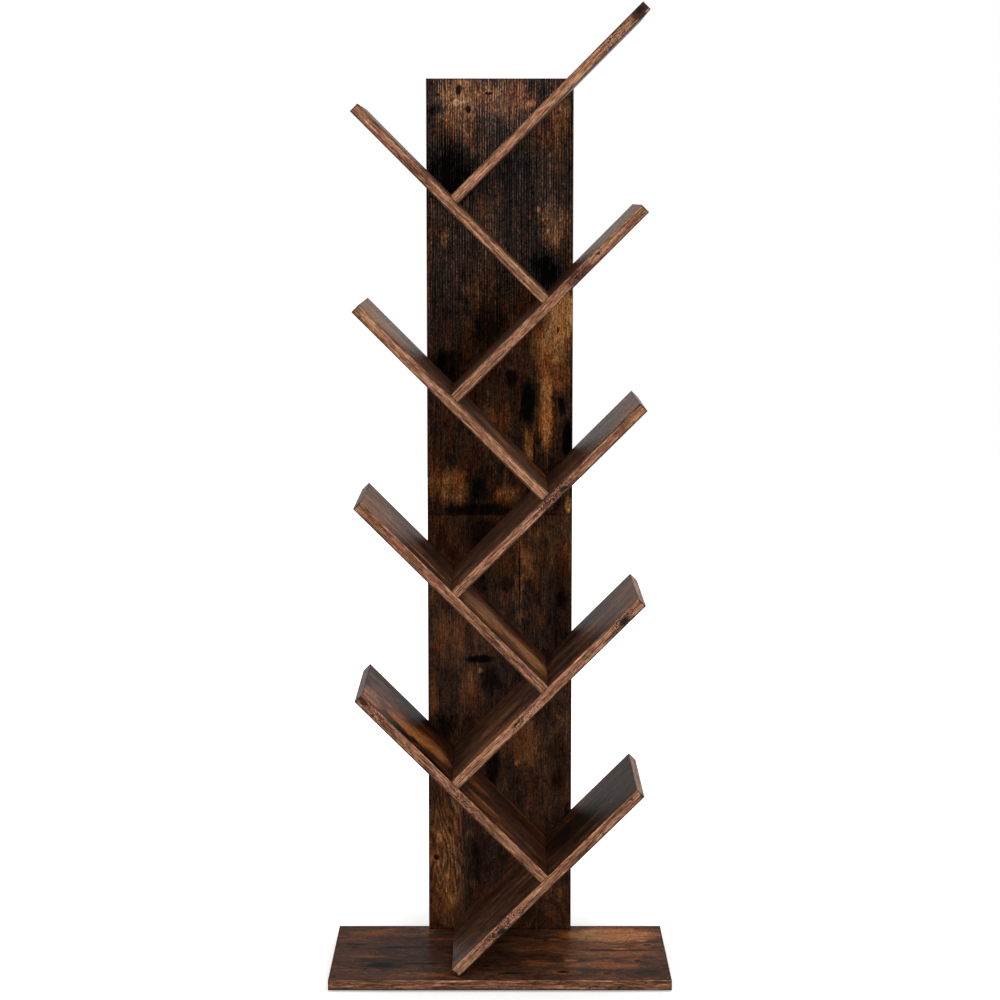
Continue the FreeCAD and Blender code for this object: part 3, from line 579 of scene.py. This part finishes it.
PANELS = [
    Board(
        "back_panel_upper", UP, FRONT, (327.5, 110.0), 3.0,
        tone=0.02,
        contrast=1.15,
        ribs=(0.2, 1.1, -10.0),
        ashen=[
            (140, -10, 160, 150, 0.46),
            (300, 0, 80, 160, 0.45),
            (0, 90, 120, 60, 0.25),
        ],
        marks=[
            (280, 58, 66, 44, 0.18),
            (293, 64, 7, 6, 0.46),
            (293, 62, 4, 17, 0.26),
            (322, 40, 8, 20, 0.14),
            (300, -10, 40, 60, 0.20),
            (290, -92, 26, 22, 0.14),
            (243, 78, 26, 36, -0.14),
            (243, -60, 24, 20, 0.12),
            (291, -47, 8, 10, 0.32),
            (281, 96, 10, 20, -0.30),
            (262, 92, 12, 12, -0.14),
            # A dark patch in the corner between the two highest shelves: partly the print's dark ground,
            # partly painted shade of that corner
            (186, 76, 62, 52, -0.52),
            (269, -90, 36, 20, 0.20),
            (107, -80, 40, 32, 0.22),
            (177, -32, 52, 38, -0.08),
            (138, 33, 30, 28, 0.14),
            (44, -68, 38, 36, -0.40),
            (93, 82, 20, 9, 0.22),
            (135, -58, 7, 4, 0.36),
            (122, -44, 5, 4, 0.30),
            (150, -62, 5, 3, 0.26),
            (18, 52, 16, 10, 0.18),
            (-38, 16, 38, 36, -0.15),
            (-112, 84, 50, 28, -0.38),
            (-22, -96, 50, 36, 0.52),
            (-66, -78, 46, 36, 0.44),
            (-104, -60, 30, 22, 0.16),
            (-112, -90, 40, 22, 0.22),
            (-168, -70, 86, 15, 0.56),
            (-222, -44, 36, 10, 0.42),
            (-156, -42, 44, 14, -0.44),
            (-119, -17, 18, 13, -0.36),
            (-160, -94, 22, 9, -0.34),
            (-212, -102, 40, 10, -0.50),
            (-184, 4, 44, 36, 0.16),
            (-312, -104, 19, 8, 0.44),
            (-240, 95, 40, 20, 0.06),
            (-282, 76, 38, 42, 0.36),
            (-306, 62, 14, 14, 0.18),
            (-290, 33, 26, 16, -0.25),
            (-294, -10, 18, 30, 0.24),
            (-320, 30, 13, 66, -0.34),
        ],
        knots=[
            (311, 61, 9, 6),
            (283, 47, 7, 5),
            (306, 16, 3, 9),
            (304, 92, 3, 4),
            (-46, -87, 8, 2.5),
            (-225, -52, 30, 1.6),
        ],
    ),
    Board(
        "back_panel_lower", UP, FRONT, (325.0, 110.0), 9.0,
        tone=0.07,
        contrast=0.8,
        ribs=(0.1, 0.2, 100.0),
        ashen=[
            (90, 0, 190, 150, 0.28),
            (-190, 0, 190, 150, 0.14),
        ],
        marks=[
            (296, 26, 34, 26, -0.25),
            (254, -42, 24, 12, 0.22),
            (296, -60, 14, 32, 0.08),
            (218, -8, 18, 16, -0.24),
            (196, -94, 20, 14, -0.24),
            (130, 80, 52, 42, 0.14),
            (102, 32, 8, 28, -0.50),
            (70, 16, 34, 20, -0.18),
            (84, 30, 6, 5, 0.40),
            (60, 48, 36, 14, 0.18),
            (40, 102, 56, 9, 0.18),
            (-30, -36, 56, 38, 0.16),
            (-66, 11, 44, 16, -0.28),
            (-70, -94, 60, 18, -0.12),
            (165, -94, 110, 26, -0.18),
            (-2, -92, 32, 22, 0.14),
            (-5, 92, 36, 20, -0.20),
            (-165, -96, 60, 24, -0.14),
            (-61, -27, 7, 6, 0.34),
            (-210, 84, 120, 44, 0.18),
            (-179, 95, 16, 10, 0.16),
            (-262, 76, 44, 15, 0.16),
            (-213, 36, 54, 18, -0.18),
            (-275, -85, 54, 32, 0.06),
        ],
        knots=[
            (225, -30, 76, 1.6),
            (-210, 98, 6, 5),
        ],
        veined=[
            (-190, 82, 130, 42, 0.11),
            (200, -40, 90, 40, 0.06),
        ],
    ),
]

BASE = Board(
    "base_board", ACROSS, UP, (249.0, 124.0), 5.0,
    tone=0.09,
    red=0.35,
    contrast=0.65,
    marks=[
        (-145, 21, 52, 7, -0.32),
        (-178, -59, 26, 15, -0.46),
        (-178, -59, 60, 30, -0.12),
        (-118, -52, 30, 7, -0.26),
        (-222, 35, 24, 11, -0.15),
        (-120, -100, 54, 16, 0.12),
        (-160, 92, 100, 24, 0.16),
        (170, 84, 104, 48, 0.46),
        (160, 20, 110, 90, 0.18),
        (50, 40, 60, 60, 0.10),
        (173, 73, 30, 8, 0.22),
        (180, 14, 14, 6, 0.62),
        (150, 62, 18, 5, 0.30),
        (216, 52, 14, 5, 0.30),
        (106, -38, 16, 7, 0.42),
        (150, -60, 80, 26, 0.24),
        (84, 60, 14, 6, 0.30),
        (-90, 60, 40, 8, 0.12),
        (-200, -20, 40, 8, 0.16),
        (-150, 0, 110, 120, -0.04),
        (175, 9, 84, 7, -0.30),
        (222, -92, 26, 26, -0.16),
        (25, -95, 34, 6, -0.28),
        (60, 0, 60, 20, 0.08),
        (52, -50, 44, 20, 0.16),
    ],
    knots=[
        (-20, -62, 8, 4),
        (223, 33, 9, 5),
        (205, -39, 6, 6),
        (157, -96, 8, 5),
        (93, -88, 13, 7),
    ],
    veined=[
        (-170, -55, 60, 40, 0.10),
        (170, 60, 90, 50, 0.06),
    ],
    ashen=[
        (0, 0, 420, 260, 0.16),
    ],
    band={
        "tone": -0.17,
        # A painted highlight along the upper arris of the base's band
        "arris": 0.25,
        "knots": [(130, -3.0, 2.5, 1.6), (174, -3.5, 3.5, 1.8), (213, 3.5, 2.5, 1.6)],
    },
)

ALL_OVER = (0, 0, 240, 160)  # an oval that covers a whole shelf
# The print that all shelves have, unless their own looks say otherwise
SHELF_PRINT = {
    "contrast": 0.85,
    "planks": 0.6,
    "ashen": [(*ALL_OVER, 0.36)],
    "veined": [(*ALL_OVER, 0.07)],
}
SHELF_LOOKS = {
    "shelf_right_1": {
        "tone": 0.05,
        "ashen": [(*ALL_OVER, 0.10)],
        "marks": [
            (60, 0, 70, 60, -0.20),
            (150, 0, 90, 150, -0.12),
            (130, -40, 60, 12, 0.10),
            (150, 50, 50, 12, 0.10),
            (90, -70, 50, 8, -0.20),
            (-110, -60, 60, 14, 0.10),
            (-80, -92, 60, 7, -0.25),
        ],
    },
    "shelf_right_2": {
        "tone": 0.12,
        "marks": [
            (80, 60, 60, 12, -0.30),
            (188, 0, 56, 150, 0.14),
            (120, 0, 60, 20, 0.16),
            (150, -80, 50, 14, 0.16),
            (40, 20, 60, 8, 0.20),
            (30, -70, 60, 16, -0.25),
            (-90, -20, 80, 22, 0.16),
        ],
    },
    "shelf_right_3": {
        "tone": 0.12,
        "marks": [(175, 0, 70, 150, 0.10), (60, 60, 60, 16, 0.18), (-90, 0, 80, 10, -0.2)],
    },
    "shelf_right_4": {"tone": 0.12, "marks": [(150, 0, 80, 150, 0.12)]},
    "shelf_left_1": {
        "tone": 0.06,
        "red": 0.5,
        "ashen": [(172, 0, 56, 150, 0.5), (-60, 0, 160, 150, 0.15)],
        "marks": [
            (138, 6, 60, 64, 0.22),
            (176, 70, 34, 60, 0.40),
            (130, 60, 26, 24, 0.30),
            (96, 52, 44, 34, 0.52),
            (52, 18, 54, 50, 0.52),
            (112, 98, 28, 13, -0.60),
            (86, 76, 10, 10, -0.40),
            (44, 101, 36, 13, -0.60),
            (84, -86, 56, 28, -0.34),
            (150, -60, 50, 8, 0.16),
            (-35, -14, 44, 40, 0.20),
            (-60, 60, 60, 24, 0.20),
            (-110, -80, 60, 10, -0.25),
        ],
    },
    "shelf_left_2": {
        "tone": 0.16,
        "marks": [
            (165, 30, 80, 120, 0.24),
            (140, 36, 60, 8, -0.30),
            (70, 66, 60, 16, 0.26),
            (60, -40, 60, 40, -0.12),
            (-60, 20, 80, 74, 0.34),
            (-150, 10, 60, 74, 0.30),
            (-90, -88, 90, 10, -0.45),
            (-120, 96, 60, 8, -0.25),
        ],
    },
    "shelf_left_3": {
        "tone": 0.16,
        "ashen": [(*ALL_OVER, 0.52)],
        "marks": [(160, 0, 90, 150, 0.20), (-80, 10, 60, 60, 0.16), (-70, -60, 80, 9, -0.30)],
    },
    "shelf_left_4": {"tone": 0.12},
}
# How the shelves' edge bands differ: arris is how much the upper arris is painted lighter, as a
# painted highlight, or darker, as painted shade of the rounded edge; end is the tone of the bands on
# the shelf's ends, and the darker ends of the left shelves are painted shade
BAND_LOOKS = {
    "shelf_right_1": {
        "tone": -0.04,
        "arris": 0.2,
        "marks": [(-100, 0.0, 24, 10.0, -0.2)],
        "veined": [(-90, 0.0, 62, 14.0, 0.34)],
        "knots": [(-98, -3.0, 9.0, 4.0), (174, 3.0, 2.5, 1.5), (110, -4.0, 3.0, 1.5)],
    },
    "shelf_right_2": {
        "marks": [(153, -2.0, 18, 10.0, -0.30), (-61, 1.0, 16, 8.0, -0.2)],
        "veined": [(152, 0.0, 30, 14.0, 0.50), (-50, 0.0, 40, 12.0, 0.30)],
        "knots": [(152, -1.0, 10.0, 5.5), (-64, 1.5, 6.0, 2.5)],
        "arris": 0.3,
    },
    "shelf_right_3": {
        "marks": [(14, 0.0, 46, 14.0, -0.22)],
        "veined": [(10, 0.0, 56, 14.0, 0.36)],
        "knots": [(28, -2.0, 9.0, 3.5)],
    },
    "shelf_right_4": {
        "arris": -0.2,
        "marks": [(60, 0.0, 30, 12.0, -0.30), (120, 2.0, 50, 3.0, 0.12)],
        "veined": [(100, 0.0, 16, 10.0, 0.24), (56, 0.0, 22, 12.0, 0.30)],
        "knots": [(100, 1.5, 4.0, 2.2), (54, 0.0, 4.0, 2.5)],
    },
    "shelf_right_5": {
        "tone": 0.04,
        "arris": -0.6,
        "marks": [(178, 0.5, 17, 12.0, -0.90), (152, -1.0, 9, 5.0, 0.22), (186, -6.0, 7, 2.0, 0.9)],
        "veined": [(128, 0.0, 42, 14.0, 0.30)],
        "knots": [(179, 2.0, 9.0, 5.0)],
    },
    # The left shelves' end bands are given darker tones as painted shade, since those ends face away from
    # the key lamp
    "shelf_left_1": {
        "tone": -0.05,
        "end": -0.40,
        "arris": 0.45,
        "marks": [(182, 2.0, 11, 6.0, -0.6), (150, 0.0, 34, 12.0, -0.08)],
        "veined": [(160, 0.0, 36, 12.0, 0.26), (-30, 0.0, 50, 12.0, 0.2)],
    },
    "shelf_left_2": {"tone": -0.06, "arris": 0.5, "end": -0.45},
    "shelf_left_3": {"arris": -0.4, "end": -0.30},
    "shelf_left_4": {"arris": -0.5, "end": -0.20},
}

# The slanted shelves, numbered from the lowest. Each has its own seed, so that no two look alike

SHELVES_RIGHT = 5
SHELVES_LEFT = 4
HALF_SHELF = (189.0, 109.0)


def slanted_shelf(side, number, along, face, seed):
    """A shelf with the print that all have, and its own looks where the photograph shows them."""
    node = f"shelf_{side}_{number}"
    looks = {**SHELF_PRINT, **SHELF_LOOKS.get(node, {})}
    return Board(node, along, face, HALF_SHELF, seed, band=BAND_LOOKS[node], **looks)


SHELVES = [slanted_shelf("right", i + 1, RIGHT, RIGHT_FACE, 31.0 + 4.3 * i) for i in range(SHELVES_RIGHT)]
SHELVES += [slanted_shelf("left", i + 1, LEFT, LEFT_FACE, 67.0 + 5.1 * i) for i in range(SHELVES_LEFT)]

# The studio, in metres

FLOOR_WIDTH = 12.0
GLOW_START = 0.20  # from the middle of the floor, where its own white begins to rise
GLOW_FULL = 0.62  # and where the floor is white all through
GLOW_NEAR = 0.36  # the strength of that white under the object
# Each lamp's name, place, the point that it faces, its width, and its power in watts
LAMPS = (
    ("lamp_key", (1.7, -3.4, 2.7), (0.0, 0.0, 0.8), 2.2, 56.0),
    ("lamp_fill", (-2.3, -3.0, 1.6), (0.0, 0.0, 0.7), 2.2, 30.0),
    ("lamp_top", (0.0, -0.5, 3.6), (0.0, 0.0, 0.5), 3.0, 36.0),
)


# One operator for each piece or group of like pieces

class BOOKCASE_OT_panels(bpy.types.Operator):
    """Dresses both lengths of the back panel and their edge bands"""

    bl_idname = "bookcase.dress_panels"
    bl_label = "Dress the back panel"

    def execute(self, context):
        for panel in PANELS:
            word = panel.node.rsplit("_", 1)[1]
            band = printed_band(panel)
            dress(panel.node, printed_board(panel))
            for side in ("left", "right"):
                dress(f"panel_band_{word}_{side}", band)
            if word == "upper":
                dress("panel_band_top", printed_band(panel.turned()))
        return {"FINISHED"}


class BOOKCASE_OT_base(bpy.types.Operator):
    """Dresses the base board and its edge bands"""

    bl_idname = "bookcase.dress_base"
    bl_label = "Dress the base"

    def execute(self, context):
        dress(BASE.node, printed_board(BASE))
        dress("base_band_front", printed_band(BASE))
        side_band = printed_band(BASE.turned())
        for side in ("left", "right"):
            dress("base_band_" + side, side_band)
        return {"FINISHED"}


class BOOKCASE_OT_shelves(bpy.types.Operator):
    """Dresses the slanted shelves and their edge bands"""

    bl_idname = "bookcase.dress_shelves"
    bl_label = "Dress the shelves"

    def execute(self, context):
        for shelf in SHELVES:
            place = shelf.node.replace("shelf_", "")
            end_band = printed_band(shelf.turned())
            dress(shelf.node, printed_board(shelf))
            dress("front_band_" + place, printed_band(shelf))
            dress("end_band_" + place, end_band)
            if "foot_band_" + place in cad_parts:
                dress("foot_band_" + place, end_band)
        return {"FINISHED"}


class BOOKCASE_OT_fittings(bpy.types.Operator):
    """Dresses the screws, plates, dowels, caps, glides and nails"""

    bl_idname = "bookcase.dress_fittings"
    bl_label = "Dress the fittings"

    def execute(self, context):
        colours = context.scene.bookcase_fittings
        # Bright zinc on cold-headed steel wire: a cool silver with faint cloudiness from the plating bath
        screw = mottled("zinc_plated_screws", colours.zinc, 3.0, 3.0, 0.10, 0.34, metallic=1.0)
        # Zinc on rolled sheet: the same silver with longer clouds from rolling
        plate = mottled("zinc_plated_sheet", colours.zinc, 12.0, 2.0, 0.12, 0.38, metallic=1.0)
        # Turned beech: pale pinkish tan with short dark flecks
        beech = mottled("turned_beech", colours.beech, 4.0, 0.8, 0.16, 0.6)
        # Moulded polypropylene: brown with a fine spark-eroded grain
        cap = mottled("moulded_caps", colours.cap, 2.0, 2.0, 0.08, 0.45)
        # Moulded polyethylene: near black, slightly scuffed where it slides on the floor
        glide = mottled("moulded_glides", colours.glide, 6.0, 3.0, 0.2, 0.5)
        for node in ("back_screws", "joint_screws", "base_screws", "seam_plate_screws", "glide_nails"):
            dress(node, screw)
        for node in ("joint_dowels", "base_dowels", "seam_dowels"):
            dress(node, beech)
        dress("seam_plates", plate)
        dress("screw_caps", cap)
        dress("floor_glides", glide)
        return {"FINISHED"}


class BOOKCASE_OT_studio(bpy.types.Operator):
    """Makes the floor, the lamps, the white surroundings and the camera"""

    bl_idname = "bookcase.studio"
    bl_label = "Set up the studio"

    def execute(self, context):
        scene = context.scene
        studio = scene.bookcase_studio
        bpy.ops.object.select_all(action="DESELECT")
        bpy.ops.mesh.primitive_plane_add(size=FLOOR_WIDTH, location=(0, 0, 0))
        floor = context.object
        floor.name = "studio_floor"
        # Seamless studio paper: pale and matt. To the camera and to mirrors it is white away from
        # the object, and it keeps the object's shadow
        material, tree = new_material("studio_floor")
        position = add(tree, "TexCoord")
        away = add(tree, "VectorMath", (position.outputs["Object"],), operation="LENGTH")
        matt = add(tree, "BsdfDiffuse", {"Color": studio.floor})
        seen = seen_rays(tree)
        far = add(tree, "MapRange", (away.outputs["Value"], GLOW_START, GLOW_FULL, GLOW_NEAR, 1.0))
        white = add(tree, "Math", (seen, far), operation="MULTIPLY")
        glow = add(tree, "Emission", {"Color": (1, 1, 1, 1), "Strength": white})
        both = add(tree, "AddShader", (matt, glow))
        add(tree, "OutputMaterial", {"Surface": both})
        floor.data.materials.append(material)

        # An evenly lit white room: it lights the object softly and shows as pure white
        world = bpy.data.worlds.new("studio_room")
        scene.world = world
        world.use_nodes = True
        tree = world.node_tree
        tree.nodes.clear()
        seen = seen_rays(tree)
        room = add(tree, "Background", {"Color": (1, 1, 1, 1), "Strength": studio.room})
        white = add(tree, "Background", {"Color": (1, 1, 1, 1), "Strength": 1.0})
        either = add(tree, "MixShader", (seen, room, white))
        add(tree, "OutputWorld", {"Surface": either})

        for name, place, aim, width, power in LAMPS:
            bpy.ops.object.select_all(action="DESELECT")
            bpy.ops.object.light_add(type="AREA", location=place)
            lamp = context.object
            lamp.name = name
            lamp.data.shape = "SQUARE"
            lamp.data.size = width
            lamp.data.energy = power
            lamp.visible_camera = False
            lamp.rotation_euler = (Vector(aim) - Vector(place)).to_track_quat("-Z", "Y").to_euler()

        bpy.ops.object.select_all(action="DESELECT")
        bpy.ops.object.camera_add(
            location=(studio.camera_side, -studio.camera_back, studio.camera_height),
            rotation=(math.pi / 2 - studio.camera_tilt, 0.0, 0.0),
        )
        camera = context.object
        camera.name = "camera"
        camera.data.sensor_width = 36.0
        camera.data.lens = studio.lens
        camera.data.shift_y = studio.lens_shift
        camera.data.clip_end = 100.0
        scene.camera = camera
        scene.view_settings.view_transform = "Standard"
        return {"FINISHED"}


class BOOKCASE_PT_panel(bpy.types.Panel):
    """Sizes, colours and steps of the bookcase"""

    bl_idname = "BOOKCASE_PT_panel"
    bl_label = "Tree bookcase"
    bl_space_type = "VIEW_3D"
    bl_region_type = "UI"
    bl_category = "Bookcase"

    def draw(self, context):
        scene = context.scene
        for group, operators in (
            (scene.bookcase_print, (BOOKCASE_OT_panels, BOOKCASE_OT_base, BOOKCASE_OT_shelves)),
            (scene.bookcase_bands, ()),
            (scene.bookcase_fittings, (BOOKCASE_OT_fittings,)),
            (scene.bookcase_studio, (BOOKCASE_OT_studio,)),
        ):
            box = self.layout.box()
            for name in group.__annotations__:
                box.prop(group, name)
            for operator in operators:
                box.operator(operator.bl_idname)


GROUPS = {
    "bookcase_print": PrintSettings,
    "bookcase_bands": BandSettings,
    "bookcase_fittings": FittingSettings,
    "bookcase_studio": StudioSettings,
}
STEPS = (
    BOOKCASE_OT_panels,
    BOOKCASE_OT_base,
    BOOKCASE_OT_shelves,
    BOOKCASE_OT_fittings,
    BOOKCASE_OT_studio,
)


def register():
    for group in GROUPS.values():
        bpy.utils.register_class(group)
    for step in STEPS:
        bpy.utils.register_class(step)
    bpy.utils.register_class(BOOKCASE_PT_panel)
    for name, group in GROUPS.items():
        setattr(bpy.types.Scene, name, bpy.props.PointerProperty(type=group))


def unregister():
    for name in GROUPS:
        delattr(bpy.types.Scene, name)
    bpy.utils.unregister_class(BOOKCASE_PT_panel)
    for step in reversed(STEPS):
        bpy.utils.unregister_class(step)
    for group in reversed(GROUPS.values()):
        bpy.utils.unregister_class(group)


def main():
    register()
    bpy.ops.bookcase.dress_panels()
    bpy.ops.bookcase.dress_base()
    bpy.ops.bookcase.dress_shelves()
    bpy.ops.bookcase.dress_fittings()
    bpy.ops.bookcase.studio()


if __name__ == "__main__":
    main()
